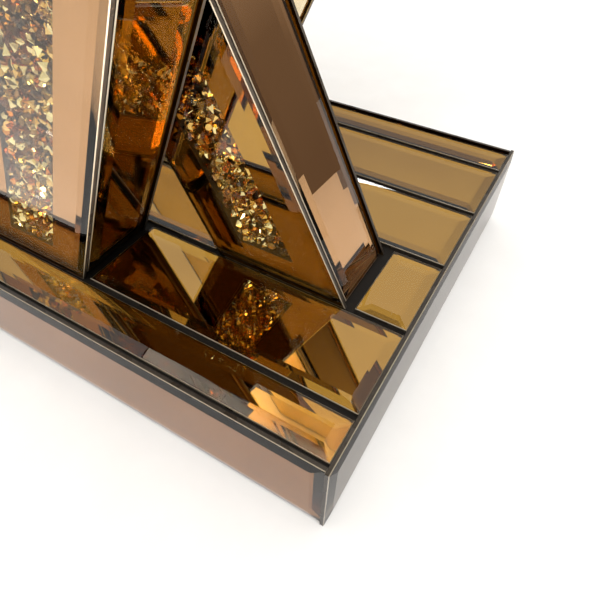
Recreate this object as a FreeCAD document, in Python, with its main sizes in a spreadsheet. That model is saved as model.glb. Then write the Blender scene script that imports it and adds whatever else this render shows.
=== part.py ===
"""Mirrored wedding card box: a lidded box carried on crossed planks over a tiled plinth.

Millimetres, +Z up, front towards -Y. The origin is under the middle of the plinth.
"""
import FreeCAD, Part
import os

import Sketcher

# ---------------------------------------------------------------- driving dimensions
SIZES = [
    # plinth
    ("plinth_width", 264.0),
    ("plinth_height", 55.0),
    ("pad_height", 2.0),
    ("pad_radius", 8.0),
    ("pad_inset", 20.0),
    ("base_board", 3.0),
    ("rail", 12.0),
    ("deck_board", 12.0),
    # glass and its joints
    ("glass", 3.0),
    ("bevel", 6.0),
    ("strip_bevel", 3.0),
    ("bevel_drop", 1.0),
    ("side_joint", 0.3),
    ("end_joint", 2.0),
    # tile rows on top of the plinth
    ("row_pitch", 50.0),
    ("row_joint", 3.0),
    ("end_row", 21.0),
    # planks
    ("plank_width", 74.0),
    ("plank_gap", 2.0),
    ("plank_height", 245.0),
    ("plank_margin", 30.5),
    ("layer_margin", 0.5),
    ("foot_gap", 4.0),
    ("plank_play", 0.3),
    ("edge_joint", 2.0),
    ("window_side", 19.5),
    ("window_end", 16.0),
    ("window_depth", 6.0),
    # bolts that hold the planks
    ("bolt_radius", 3.0),
    ("bolt_length", 30.0),
    ("thread_depth", 27.0),
    ("bolt_head_radius", 5.0),
    ("bolt_head", 4.0),
    ("bolt_spread", 10.0),
    ("bolt_play", 0.3),
    ("thread_play", 0.05),
    # box
    ("box_overhang", 21.8),
    ("box_rim", 10.0),
    ("box_height", 165.0),
    ("floor_board", 9.0),
    ("wall", 9.0),
    ("lining", 2.0),
    ("lining_play", 1.0),
    ("band_height", 34.0),
    ("band_side", 26.0),
    # lid
    ("lid_board", 12.0),
    ("lid_gap", 0.3),
    ("slot_margin", 25.0),
    ("slot_width", 16.0),
    ("trim_wall", 1.2),
    ("trim_flange", 4.0),
    ("trim_height", 1.2),
    ("trim_play", 0.3),
    # hinges
    ("hinge_spacing", 140.0),
    ("hinge_length", 34.0),
    ("hinge_plate", 1.3),
    ("hinge_reach", 8.7),
    ("knuckle_radius", 3.0),
    ("knuckle_play", 0.3),
    ("pin_radius", 1.5),
    ("pin_play", 0.05),
    ("recess_play", 0.2),
    # knob
    ("knob_radius", 5.5),
    ("knob_stem_radius", 2.5),
    ("knob_stem", 4.0),
]

doc = FreeCAD.newDocument("card_box")
sheet = doc.addObject("Spreadsheet::Sheet", "Sizes")
for row, (alias, value) in enumerate(SIZES, 1):
    sheet.set(f"A{row}", alias)
    sheet.set(f"B{row}", str(value))
    sheet.setAlias(f"B{row}", alias)
doc.recompute()

PARTS = []


def cell(name):
    """Expression for one cell of the sheet."""
    return f"Sizes.{name}"


# ---------------------------------------------------------------- derived places
GLASS = cell("glass")
HALF_WIDTH = f"({cell('plinth_width')} / 2)"
FIELD_Y = f"((4 * {cell('row_pitch')} + {cell('row_joint')}) / 2 + {cell('end_row')})"
BODY_Y = f"({FIELD_Y} + {cell('end_joint')})"
HALF_DEPTH = f"({BODY_Y} + {GLASS})"
TILE_TOP = cell("plinth_height")
DECK_TOP = f"({TILE_TOP} - {GLASS})"
DECK_BOTTOM = f"({DECK_TOP} - {cell('deck_board')})"
RAIL_BOTTOM = f"({cell('pad_height')} + {cell('base_board')})"
BODY_X = f"({HALF_WIDTH} - {GLASS})"
FIELD_X = f"({BODY_X} - {cell('side_joint')})"
ROWS_FRONT = f"({cell('end_row')} - {FIELD_Y})"

PLANK_OUTER = f"({FIELD_X} - {cell('plank_margin')})"
TRAVEL = f"(2 * {PLANK_OUTER} - {cell('plank_width')})"
SLOPE = f"({TRAVEL} / {cell('plank_height')})"
SECANT = f"sqrt(1 + {SLOPE} * {SLOPE})"
FOOT_X = f"({PLANK_OUTER} - {cell('plank_width')} / 2)"
PLANK_TOP = f"({DECK_TOP} + {cell('plank_height')})"

PLANK_DEPTH = f"({cell('row_pitch')} - {cell('plank_gap')})"
LAYERS_FRONT = f"({ROWS_FRONT} + {cell('layer_margin')})"
LAYERS_MID = f"({LAYERS_FRONT} + {cell('row_pitch')} + {PLANK_DEPTH} / 2)"
BOX_REACH = f"({cell('row_pitch')} + {PLANK_DEPTH} / 2 + {cell('box_rim')})"
BOX_FRONT = f"({LAYERS_MID} - {BOX_REACH})"
BOX_REAR = f"({LAYERS_MID} + {BOX_REACH})"
BOX_X = f"({PLANK_OUTER} + {cell('box_overhang')})"
WALL_TOP = f"({PLANK_TOP} + {cell('box_height')})"
FLOOR_TOP = f"({PLANK_TOP} + {cell('floor_board')})"
LID_BOTTOM = f"({WALL_TOP} + {cell('lid_gap')})"
LID_TOP = f"({LID_BOTTOM} + {cell('lid_board')})"
LID_REAR = f"({BOX_REAR} - {cell('lid_gap')})"
HINGE_Y = f"({BOX_REAR} + {cell('knuckle_radius')} + {cell('knuckle_play')})"
HINGE_Z = f"({WALL_TOP} + {cell('lid_gap')} / 2)"
HINGE_RECESS = f"({cell('hinge_plate')} + {cell('recess_play')})"
HINGE_FRONT = f"({BOX_REAR} - {GLASS} - {cell('hinge_reach')})"


def row_front(row):
    """Front edge of tile row 2 to 6."""
    return f"({ROWS_FRONT} + {cell('row_joint')} + {row - 2} * {cell('row_pitch')})"


def layer_front(layer):
    """Front glass face of the plank in layer 0, 1 or 2."""
    return f"({LAYERS_FRONT} + {layer} * {cell('row_pitch')})"


# ---------------------------------------------------------------- building blocks
def keep(part, name):
    """Give a sub-part its name and put it on the list of files."""
    part.Label = name
    PARTS.append(part)
    return part


def origin_plane(body, role):
    return next(item for item in body.Origin.OriginFeatures if item.Role == role)


def new_body(name):
    return keep(doc.addObject("PartDesign::Body", f"body_{name}"), name)


def new_sketch(body, role, offset):
    """Sketch on one of the body's own planes, moved along its normal."""
    sketch = body.newObject("Sketcher::SketchObject", f"{body.Label}_sketch")
    sketch.AttachmentSupport = [(origin_plane(body, role), "")]
    sketch.MapMode = "FlatFace"
    sketch.setExpression("AttachmentOffset.Base.z", offset)
    return sketch


def bind(sketch, constraint, expression):
    index = sketch.addConstraint(constraint)
    sketch.setExpression(f"Constraints[{index}]", expression)


def add_polygon(sketch, corners):
    """Closed polygon whose corners are pairs of expressions, counter-clockwise."""
    start = [(-20.0, -10.0), (20.0, -10.0), (20.0, 10.0), (-20.0, 10.0)]
    first = len(sketch.Geometry)
    count = len(corners)
    for k in range(count):
        begin = FreeCAD.Vector(*start[k], 0)
        end = FreeCAD.Vector(*start[(k + 1) % count], 0)
        sketch.addGeometry(Part.LineSegment(begin, end), False)
    for k in range(count):
        following = first + (k + 1) % count
        sketch.addConstraint(Sketcher.Constraint("Coincident", first + k, 2, following, 1))
    for k, (across, along) in enumerate(corners):
        place = (-1, 1, first + k, 1)
        bind(sketch, Sketcher.Constraint("DistanceX", *place, start[k][0]), across)
        bind(sketch, Sketcher.Constraint("DistanceY", *place, start[k][1]), along)


def add_circle(sketch, centre, radius):
    circle = Part.Circle(FreeCAD.Vector(0, 0, 0), FreeCAD.Vector(0, 0, 1), 1)
    index = sketch.addGeometry(circle, False)
    bind(sketch, Sketcher.Constraint("DistanceX", -1, 1, index, 3, 1.0), centre[0])
    bind(sketch, Sketcher.Constraint("DistanceY", -1, 1, index, 3, 1.0), centre[1])
    bind(sketch, Sketcher.Constraint("Radius", index, 1.0), radius)


def rectangle(left, right, low, high, inset="0"):
    return [
        (f"{left} + {inset}", f"{low} + {inset}"),
        (f"{right} - {inset}", f"{low} + {inset}"),
        (f"{right} - {inset}", f"{high} - {inset}"),
        (f"{left} + {inset}", f"{high} - {inset}"),
    ]


def add_pad(body, sketch, length, backwards=False):
    pad = body.newObject("PartDesign::Pad", f"{body.Label}_pad")
    pad.Profile = sketch
    pad.Reversed = backwards
    pad.setExpression("Length", length)
    return pad


def cut_pocket(body, sketch, length, backwards=False):
    """Cut against the sketch's normal, or along it when backwards, and test that it cuts."""
    doc.recompute()
    before = body.Shape.Volume
    pocket = body.newObject("PartDesign::Pocket", f"{body.Label}_pocket")
    pocket.Profile = sketch
    pocket.Reversed = backwards
    pocket.setExpression("Length", length)
    doc.recompute()
    if not body.Shape.Volume < before:
        raise RuntimeError(f"a pocket in {body.Label} cuts nothing")
    return pocket


def block(name, left, right, front, rear, bottom, top):
    """Plain rectangular block between two corners given as expressions."""
    box = doc.addObject("Part::Box", name)
    box.setExpression("Length", f"{right} - {left}")
    box.setExpression("Width", f"{rear} - {front}")
    box.setExpression("Height", f"{top} - {bottom}")
    box.setExpression("Placement.Base.x", left)
    box.setExpression("Placement.Base.y", front)
    box.setExpression("Placement.Base.z", bottom)
    return box


def board(name, *sides):
    """Block that is a sub-part of its own."""
    return keep(block(name, *sides), name)


def group(name, members):
    """Several equal pieces kept as separate solids of one sub-part."""
    compound = keep(doc.addObject("Part::Compound", name), name)
    compound.Links = members
    return compound


def sheet_of_glass(name, role, outline, seat, outwards=1, bevel=cell("bevel")):
    """Glass sheet on a plane: a flat back at seat and a bevel round its face.

    outline(inset) gives the corners drawn in by inset; outwards is +1 or -1 along the
    plane's normal.
    """
    body = new_body(name)
    sign = "+" if outwards > 0 else "-"
    flank = f"({GLASS} - {cell('bevel_drop')})"
    back = new_sketch(body, role, seat)
    add_polygon(back, outline("0"))
    add_pad(body, back, flank, backwards=outwards < 0)
    shoulder = new_sketch(body, role, f"{seat} {sign} {flank}")
    add_polygon(shoulder, outline("0"))
    face = new_sketch(body, role, f"{seat} {sign} {GLASS}")
    add_polygon(face, outline(bevel))
    loft = body.newObject("PartDesign::AdditiveLoft", f"{name}_bevel")
    loft.Profile = shoulder
    loft.Sections = [face]
    loft.Ruled = True
    return body


# ---------------------------------------------------------------- plinth
def make_plinth():
    rail = cell("rail")
    board("plinth_base_board", f"-{BODY_X}", BODY_X, f"-{BODY_Y}", BODY_Y,
          cell("pad_height"), RAIL_BOTTOM)
    inner_y = f"({BODY_Y} - {rail})"
    inner_x = f"({BODY_X} - {rail})"
    board("plinth_front_rail", f"-{BODY_X}", BODY_X, f"-{BODY_Y}", f"-{inner_y}",
          RAIL_BOTTOM, DECK_BOTTOM)
    board("plinth_rear_rail", f"-{BODY_X}", BODY_X, inner_y, BODY_Y, RAIL_BOTTOM, DECK_BOTTOM)
    board("plinth_left_rail", f"-{BODY_X}", f"-{inner_x}", f"-{inner_y}", inner_y,
          RAIL_BOTTOM, DECK_BOTTOM)
    board("plinth_right_rail", inner_x, BODY_X, f"-{inner_y}", inner_y,
          RAIL_BOTTOM, DECK_BOTTOM)

    deck = new_body("plinth_deck")
    outline = new_sketch(deck, "XY_Plane", DECK_BOTTOM)
    add_polygon(outline, rectangle(f"-{BODY_X}", BODY_X, f"-{BODY_Y}", BODY_Y))
    add_pad(deck, outline, cell("deck_board"))
    holes = new_sketch(deck, "XY_Plane", DECK_TOP)
    for centre in bolt_places(-1):
        add_circle(holes, centre, f"{cell('bolt_radius')} + {cell('bolt_play')}")
    cut_pocket(deck, holes, cell("deck_board"))

    bottom = cell("pad_height")

    def end_panel(inset):
        return rectangle(f"-{BODY_X}", BODY_X, bottom, TILE_TOP, inset)

    def side_panel(inset):
        return rectangle(f"-{HALF_DEPTH}", HALF_DEPTH, bottom, TILE_TOP, inset)

    sheet_of_glass("plinth_front_mirror", "XZ_Plane", end_panel, BODY_Y)
    sheet_of_glass("plinth_rear_mirror", "XZ_Plane", end_panel, f"-{BODY_Y}", -1)
    sheet_of_glass("plinth_right_mirror", "YZ_Plane", side_panel, BODY_X)
    sheet_of_glass("plinth_left_mirror", "YZ_Plane", side_panel, f"-{BODY_X}", -1)

    pads = []
    for sign_x in ("-", ""):
        for sign_y in ("-", ""):
            pad = doc.addObject("Part::Cylinder", "pad")
            pad.setExpression("Radius", cell("pad_radius"))
            pad.setExpression("Height", cell("pad_height"))
            pad.setExpression("Placement.Base.x", f"{sign_x}({BODY_X} - {cell('pad_inset')})")
            pad.setExpression("Placement.Base.y", f"{sign_y}({BODY_Y} - {cell('pad_inset')})")
            pads.append(pad)
    group("plinth_pads", pads)


# ---------------------------------------------------------------- tiles
def make_tiles():
    depth = f"({cell('row_pitch')} - {cell('row_joint')})"

    def tile(name, left, right, front, rear):
        sheet_of_glass(name, "XY_Plane", lambda inset: rectangle(left, right, front, rear, inset),
                       DECK_TOP)

    edge = FIELD_X
    tile("tile_row_1", f"-{edge}", edge, f"-{FIELD_Y}", ROWS_FRONT)
    gap_near = f"({PLANK_OUTER} + {cell('foot_gap')})"
    gap_far = f"({PLANK_OUTER} - {cell('plank_width')} - {cell('foot_gap')})"
    for row in (2, 3, 4):
        front = row_front(row)
        rear = f"({front} + {depth})"
        if row == 3:
            tile(f"tile_row_{row}_left", f"-{edge}", gap_far, front, rear)
            tile(f"tile_row_{row}_right", gap_near, edge, front, rear)
        else:
            tile(f"tile_row_{row}_left", f"-{edge}", f"(-{gap_near})", front, rear)
            tile(f"tile_row_{row}_right", f"(-{gap_far})", edge, front, rear)
    tile("tile_row_5", f"-{edge}", edge, row_front(5), f"({row_front(5)} + {depth})")
    tile("tile_row_6", f"-{edge}", edge, row_front(6), FIELD_Y)


# ---------------------------------------------------------------- planks
def plank_outline(hand, side="0", end="0"):
    """Leaning outline in X and Z; hand +1 has its foot on the right and leans left.

    side draws the two slanting edges in, square to them; end draws in the level ends.
    """
    turn = "" if hand > 0 else "-"

    def corner(height, edge):
        middle = f"({FOOT_X} - {SLOPE} * ({height}))"
        half = f"({cell('plank_width')} / 2 - ({side}) * {SECANT})"
        return (f"{turn}({middle} {edge} {half})", f"{DECK_TOP} + {height}")

    low = f"({end})"
    high = f"({cell('plank_height')} - ({end}))"
    near, far = ("-", "+") if hand > 0 else ("+", "-")
    return [corner(low, near), corner(low, far), corner(high, far), corner(high, near)]


def bolt_places(end):
    """Centres of the two bolts of every plank at its foot, -1, or its head, +1."""
    places = []
    for layer, hand in enumerate((-1, 1, -1)):
        middle = f"({layer_front(layer)} + {PLANK_DEPTH} / 2)"
        sign = "" if hand * end < 0 else "-"
        for side in ("-", "+"):
            places.append((f"({sign}{FOOT_X} {side} {cell('bolt_spread')})", middle))
    return places


def make_plank(letter, layer, hand, crystals_at_rear):
    name = f"plank_{letter}"
    front = layer_front(layer)
    rear = f"({front} + {PLANK_DEPTH})"
    core_front = f"({front} + {GLASS})"
    core_rear = f"({rear} - {GLASS})"

    core = new_body(f"{name}_core")
    outline = new_sketch(core, "XZ_Plane", f"-{core_rear}")
    add_polygon(outline, plank_outline(hand, side=GLASS))
    add_pad(core, outline, f"{core_rear} - {core_front}")
    window = (cell("window_side"), cell("window_end"))
    tray = new_sketch(core, "XZ_Plane", f"-{core_rear if crystals_at_rear else core_front}")
    add_polygon(tray, plank_outline(hand, *window))
    cut_pocket(core, tray, cell("window_depth"), backwards=crystals_at_rear)
    bore = f"{cell('bolt_radius')} + {cell('thread_play')}"
    for end, level in ((-1, DECK_TOP), (1, PLANK_TOP)):
        holes = new_sketch(core, "XY_Plane", level)
        for centre in bolt_places(end)[2 * layer:2 * layer + 2]:
            add_circle(holes, centre, bore)
        cut_pocket(core, holes, cell("thread_depth"), backwards=end < 0)

    crystals = new_body(f"{name}_crystals")
    bed_front = f"({core_rear} - {cell('window_depth')})" if crystals_at_rear else core_front
    bed = new_sketch(crystals, "XZ_Plane", f"-({bed_front} + {cell('window_depth')})")
    add_polygon(bed, plank_outline(hand, *window))
    add_pad(crystals, bed, cell("window_depth"))

    def face(inset):
        return plank_outline(hand, inset, f"{inset} + {cell('plank_play')}")

    sheet_of_glass(f"{name}_front_mirror", "XZ_Plane", face, f"-{core_front}")
    sheet_of_glass(f"{name}_rear_mirror", "XZ_Plane", face, f"-{core_rear}", -1)
    make_plank_edges(name, front, rear, hand)


def make_plank_edges(name, front, rear, hand):
    """Narrow mirrors on the two slanting sides, drawn flat and turned onto the slope."""
    joint = cell("edge_joint")
    low_y = f"({front} + {GLASS} + {joint})"
    high_y = f"({rear} - {GLASS} - {joint})"
    length = f"({cell('plank_height')} * {SECANT})"
    overrun = f"({GLASS} * {SLOPE} + {cell('plank_play')})"
    for edge, label in ((1, "right"), (-1, "left")):

        def strip(inset):
            return rectangle(low_y, high_y, overrun, f"({length} - {overrun})", inset)

        glass = sheet_of_glass(f"{name}_{label}_mirror", "YZ_Plane", strip, f"-{edge} * {GLASS}", edge)
        foot = f"{hand} * {FOOT_X} + {edge} * {cell('plank_width')} / 2"
        glass.setExpression("Placement.Base.x", foot)
        glass.setExpression("Placement.Base.z", DECK_TOP)
        glass.Placement.Rotation = FreeCAD.Rotation(FreeCAD.Vector(0, 1, 0), 0)
        glass.setExpression("Placement.Rotation.Angle", f"{-hand} * atan({SLOPE})")


def make_bolts():
    """Equal bolts: the lower ones go up into the feet, the upper ones down into the heads."""
    seat = f"({FLOOR_TOP} - {cell('bolt_head')} - {cell('bolt_play')})"
    low_ends = (DECK_BOTTOM, f"({DECK_BOTTOM} - {cell('bolt_head')})")
    high_ends = (f"({seat} - {cell('bolt_length')})", seat)
    bolts = []
    for end, (shank_z, head_z) in ((-1, low_ends), (1, high_ends)):
        for centre in bolt_places(end):
            shank = doc.addObject("Part::Cylinder", "bolt_shank")
            shank.setExpression("Radius", cell("bolt_radius"))
            shank.setExpression("Height", cell("bolt_length"))
            head = doc.addObject("Part::Cylinder", "bolt_head")
            head.setExpression("Radius", cell("bolt_head_radius"))
            head.setExpression("Height", cell("bolt_head"))
            bolt = doc.addObject("Part::MultiFuse", "bolt")
            bolt.Shapes = [shank, head]
            for piece, level in ((shank, shank_z), (head, head_z)):
                piece.setExpression("Placement.Base.x", centre[0])
                piece.setExpression("Placement.Base.y", centre[1])
                piece.setExpression("Placement.Base.z", level)
            bolts.append(bolt)
    group("plank_bolts", bolts)


# ---------------------------------------------------------------- box
def make_box():
    inner_x = f"({BOX_X} - {GLASS})"
    front = f"({BOX_FRONT} + {GLASS})"
    rear = f"({BOX_REAR} - {GLASS})"
    wall = cell("wall")

    floor = new_body("box_floor")
    outline = new_sketch(floor, "XY_Plane", PLANK_TOP)
    add_polygon(outline, rectangle(f"-{inner_x}", inner_x, front, rear))
    add_pad(floor, outline, cell("floor_board"))
    holes = new_sketch(floor, "XY_Plane", FLOOR_TOP)
    heads = new_sketch(floor, "XY_Plane", FLOOR_TOP)
    for centre in bolt_places(1):
        add_circle(holes, centre, f"{cell('bolt_radius')} + {cell('bolt_play')}")
        add_circle(heads, centre, f"{cell('bolt_head_radius')} + {cell('bolt_play')}")
    cut_pocket(floor, holes, cell("floor_board"))
    cut_pocket(floor, heads, f"{cell('bolt_head')} + {cell('bolt_play')}")

    front_wall = new_body("box_front_wall")
    outline = new_sketch(front_wall, "XZ_Plane", f"-({front} + {wall})")
    add_polygon(outline, rectangle(f"-{inner_x}", inner_x, FLOOR_TOP, WALL_TOP))
    add_pad(front_wall, outline, wall)
    tray = new_sketch(front_wall, "XZ_Plane", f"-{front}")
    add_polygon(tray, band_outline())
    cut_pocket(front_wall, tray, cell("window_depth"))
    crystals = new_body("box_crystals")
    bed = new_sketch(crystals, "XZ_Plane", f"-({front} + {cell('window_depth')})")
    add_polygon(bed, band_outline())
    add_pad(crystals, bed, cell("window_depth"))

    rear_wall = new_body("box_rear_wall")
    outline = new_sketch(rear_wall, "XZ_Plane", f"-{rear}")
    add_polygon(outline, rectangle(f"-{inner_x}", inner_x, FLOOR_TOP, WALL_TOP))
    add_pad(rear_wall, outline, wall)
    cut_pocket(rear_wall, hinge_recesses(rear_wall, WALL_TOP, rear), HINGE_RECESS)

    board("box_left_wall", f"-{inner_x}", f"(-{inner_x} + {wall})", f"({front} + {wall})",
          f"({rear} - {wall})", FLOOR_TOP, WALL_TOP)
    board("box_right_wall", f"({inner_x} - {wall})", inner_x, f"({front} + {wall})",
          f"({rear} - {wall})", FLOOR_TOP, WALL_TOP)
    play = cell("lining_play")
    board("box_lining", f"(-{inner_x} + {wall} + {play})", f"({inner_x} - {wall} - {play})",
          f"({front} + {wall} + {play})", f"({rear} - {wall} - {play})",
          FLOOR_TOP, f"({FLOOR_TOP} + {cell('lining')})")

    def front_panel(inset):
        return rectangle(f"-{inner_x}", inner_x, PLANK_TOP, WALL_TOP, inset)

    def rear_panel(inset):
        return rectangle(f"-{inner_x}", inner_x, PLANK_TOP, f"({WALL_TOP} - {HINGE_RECESS})", inset)

    def side_panel(inset):
        return rectangle(BOX_FRONT, BOX_REAR, PLANK_TOP, WALL_TOP, inset)

    sheet_of_glass("box_front_mirror", "XZ_Plane", front_panel, f"-{front}")
    sheet_of_glass("box_rear_mirror", "XZ_Plane", rear_panel, f"-{rear}", -1)
    sheet_of_glass("box_right_mirror", "YZ_Plane", side_panel, inner_x)
    sheet_of_glass("box_left_mirror", "YZ_Plane", side_panel, f"-{inner_x}", -1)


def band_outline():
    """Window for the band of crystals across the front of the box."""
    middle = f"(({PLANK_TOP} + {WALL_TOP}) / 2)"
    reach = f"({BOX_X} - {cell('band_side')})"
    half = f"({cell('band_height')} / 2)"
    return rectangle(f"-{reach}", reach, f"({middle} - {half})", f"({middle} + {half})")


def hinge_recesses(body, level, rear):
    """Sketch of the two mortises for the hinge plates, open at the rear edge."""
    sketch = new_sketch(body, "XY_Plane", level)
    half = f"({cell('hinge_length')} / 2 + {cell('recess_play')})"
    front = f"({HINGE_FRONT} - 2 * {cell('recess_play')})"
    for side in (-1, 1):
        middle = f"({side} * {cell('hinge_spacing')} / 2)"
        add_polygon(sketch, rectangle(f"({middle} - {half})", f"({middle} + {half})", front, rear))
    return sketch


# ---------------------------------------------------------------- lid
def make_lid():
    inner_x = f"({BOX_X} - {GLASS})"
    front = f"({BOX_FRONT} + {GLASS})"
    slot = slot_outline("0")

    lid = new_body("lid_board")
    outline = new_sketch(lid, "XY_Plane", LID_BOTTOM)
    add_polygon(outline, rectangle(f"-{inner_x}", inner_x, front, LID_REAR))
    add_pad(lid, outline, cell("lid_board"))
    opening = new_sketch(lid, "XY_Plane", LID_TOP)
    add_polygon(opening, slot)
    cut_pocket(lid, opening, cell("lid_board"))
    cut_pocket(lid, hinge_recesses(lid, LID_BOTTOM, LID_REAR), HINGE_RECESS, backwards=True)

    def top_panel(inset):
        return rectangle(f"-{BOX_X}", BOX_X, BOX_FRONT, LID_REAR, inset)

    def front_strip(inset):
        return rectangle(f"-{inner_x}", inner_x, LID_BOTTOM, LID_TOP, inset)

    def side_strip(inset):
        return rectangle(BOX_FRONT, LID_REAR, LID_BOTTOM, LID_TOP, inset)

    top = sheet_of_glass("lid_top_mirror", "XY_Plane", top_panel, LID_TOP)
    opening = new_sketch(top, "XY_Plane", f"({LID_TOP} + {GLASS})")
    add_polygon(opening, slot)
    cut_pocket(top, opening, GLASS)
    narrow = cell("strip_bevel")
    sheet_of_glass("lid_front_mirror", "XZ_Plane", front_strip, f"-{front}", 1, narrow)
    sheet_of_glass("lid_right_mirror", "YZ_Plane", side_strip, inner_x, 1, narrow)
    sheet_of_glass("lid_left_mirror", "YZ_Plane", side_strip, f"-{inner_x}", -1, narrow)

    trim = new_body("slot_trim")
    bottom = new_sketch(trim, "XY_Plane", LID_BOTTOM)
    add_polygon(bottom, slot_outline(cell("trim_play")))
    add_polygon(bottom, slot_outline(f"({cell('trim_play')} + {cell('trim_wall')})"))
    add_pad(trim, bottom, f"{cell('lid_board')} + {GLASS}")
    rim = new_sketch(trim, "XY_Plane", f"({LID_TOP} + {GLASS})")
    add_polygon(rim, slot_outline(f"(-{cell('trim_flange')})"))
    add_polygon(rim, slot_outline(f"({cell('trim_play')} + {cell('trim_wall')})"))
    add_pad(trim, rim, cell("trim_height"))

    make_knob()


def slot_outline(inset):
    """Card slot through the lid, drawn in by inset."""
    half = f"({BOX_X} - {cell('slot_margin')})"
    reach = f"({cell('slot_width')} / 2)"
    return rectangle(f"-{half}", half, f"({LAYERS_MID} - {reach})", f"({LAYERS_MID} + {reach})", inset)


def make_knob():
    """Round pull on the front edge of the lid: a short stem and a ball."""
    stem = doc.addObject("Part::Cylinder", "knob_stem")
    stem.setExpression("Radius", cell("knob_stem_radius"))
    stem.setExpression("Height", f"{cell('knob_stem')} + {cell('knob_radius')}")
    stem.Placement.Rotation = FreeCAD.Rotation(FreeCAD.Vector(1, 0, 0), 90)
    ball = doc.addObject("Part::Sphere", "knob_ball")
    ball.setExpression("Radius", cell("knob_radius"))
    level = f"(({LID_BOTTOM} + {LID_TOP}) / 2)"
    middle = f"({BOX_FRONT} - {cell('knob_stem')} - {cell('knob_radius')})"
    for piece, face in ((stem, BOX_FRONT), (ball, middle)):
        piece.setExpression("Placement.Base.y", face)
        piece.setExpression("Placement.Base.z", level)
    knob = keep(doc.addObject("Part::MultiFuse", "lid_knob"), "lid_knob")
    knob.Shapes = [stem, ball]


# ---------------------------------------------------------------- hinges
def hinge_part(kind, radius, start, length):
    """Cylinder along X at the hinge axis."""
    rod = doc.addObject("Part::Cylinder", kind)
    rod.setExpression("Radius", radius)
    rod.setExpression("Height", length)
    rod.Placement.Rotation = FreeCAD.Rotation(FreeCAD.Vector(0, 1, 0), 90)
    rod.setExpression("Placement.Base.x", start)
    rod.setExpression("Placement.Base.y", HINGE_Y)
    rod.setExpression("Placement.Base.z", HINGE_Z)
    return rod


def hinge_leaf(side, knuckles, bottom, top):
    """Flat plate with knuckles; knuckles lists (start, length) along X from the left end."""
    left = f"({side} * {cell('hinge_spacing')} / 2 - {cell('hinge_length')} / 2)"
    clear = f"({cell('knuckle_radius')} + {cell('knuckle_play')})"
    plate_rear = f"({HINGE_Y} - {clear})"
    pieces = [block("hinge_plate", left, f"({left} + {cell('hinge_length')})",
                    HINGE_FRONT, plate_rear, bottom, top)]
    for start, length in knuckles:
        begin = f"({left} + {start})"
        pieces.append(block("hinge_tab", begin, f"({begin} + {length})", plate_rear, HINGE_Y,
                            bottom, top))
        pieces.append(hinge_part("hinge_knuckle", cell("knuckle_radius"), begin, length))
    whole = doc.addObject("Part::MultiFuse", "hinge_whole")
    whole.Shapes = pieces
    bore = hinge_part("hinge_bore", f"{cell('pin_radius')} + {cell('pin_play')}", left,
                      cell("hinge_length"))
    leaf = doc.addObject("Part::Cut", "hinge_leaf")
    leaf.Base = whole
    leaf.Tool = bore
    return leaf


def make_hinges():
    play = cell("knuckle_play")
    third = f"({cell('hinge_length')} / 3)"
    outer = [("0", f"({third} - {play})"), (f"(2 * {third} + {play})", f"({third} - {play})")]
    middle = [(f"({third} + {play})", f"({third} - 2 * {play})")]
    lower_top = f"({WALL_TOP} - {cell('recess_play')} / 2)"
    upper_bottom = f"({LID_BOTTOM} + {cell('recess_play')} / 2)"
    plate = cell("hinge_plate")
    lower = [hinge_leaf(side, outer, f"({lower_top} - {plate})", lower_top) for side in (-1, 1)]
    upper_top = f"({upper_bottom} + {plate})"
    upper = [hinge_leaf(side, middle, upper_bottom, upper_top) for side in (-1, 1)]
    group("hinge_box_leaves", lower)
    group("hinge_lid_leaves", upper)
    pins = []
    for side in (-1, 1):
        left = f"({side} * {cell('hinge_spacing')} / 2 - {cell('hinge_length')} / 2)"
        pins.append(hinge_part("hinge_pin", cell("pin_radius"), left, cell("hinge_length")))
    group("hinge_pins", pins)


# ---------------------------------------------------------------- whole object
make_plinth()
make_tiles()
make_plank("a", 0, -1, crystals_at_rear=False)
make_plank("b", 1, 1, crystals_at_rear=False)
make_plank("c", 2, -1, crystals_at_rear=True)
make_bolts()
make_box()
make_lid()
make_hinges()
doc.recompute()

for item in doc.Objects:
    if "Invalid" in item.State or "Error" in item.State:
        raise RuntimeError(f"{item.Label} failed: {item.State}")
for part in PARTS:
    if part.Shape.isNull() or not part.Shape.isValid():
        raise RuntimeError(f"{part.Label} has no valid shape")

os.makedirs("parts", exist_ok=True)
for part in PARTS:
    part.Shape.exportStep(f"parts/{part.Label}.step")
print(f"{len(PARTS)} sub-parts written")
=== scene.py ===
import math
import random

import bmesh
import bpy
from mathutils import Euler, Matrix, Vector


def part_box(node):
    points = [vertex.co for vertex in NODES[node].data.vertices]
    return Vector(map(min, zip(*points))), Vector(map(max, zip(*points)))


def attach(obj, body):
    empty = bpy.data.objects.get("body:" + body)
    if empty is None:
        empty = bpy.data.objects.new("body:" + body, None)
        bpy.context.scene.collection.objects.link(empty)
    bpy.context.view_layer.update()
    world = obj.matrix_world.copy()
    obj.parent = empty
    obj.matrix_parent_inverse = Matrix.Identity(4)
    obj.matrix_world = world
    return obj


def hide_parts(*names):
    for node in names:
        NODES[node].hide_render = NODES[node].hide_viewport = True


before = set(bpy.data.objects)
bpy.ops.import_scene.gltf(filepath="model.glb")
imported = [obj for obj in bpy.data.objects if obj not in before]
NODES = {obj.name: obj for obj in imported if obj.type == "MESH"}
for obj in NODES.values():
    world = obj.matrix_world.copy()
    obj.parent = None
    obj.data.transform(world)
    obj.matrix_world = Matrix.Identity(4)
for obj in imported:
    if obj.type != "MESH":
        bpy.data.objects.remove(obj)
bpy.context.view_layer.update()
MM = 0.001

UP = Vector((0.0, 0.0, 1.0))
FRONT = Vector((0.0, -1.0, 0.0))
REAR = Vector((0.0, 1.0, 0.0))
RIGHT = Vector((1.0, 0.0, 0.0))
LEFT = Vector((-1.0, 0.0, 0.0))

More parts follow.
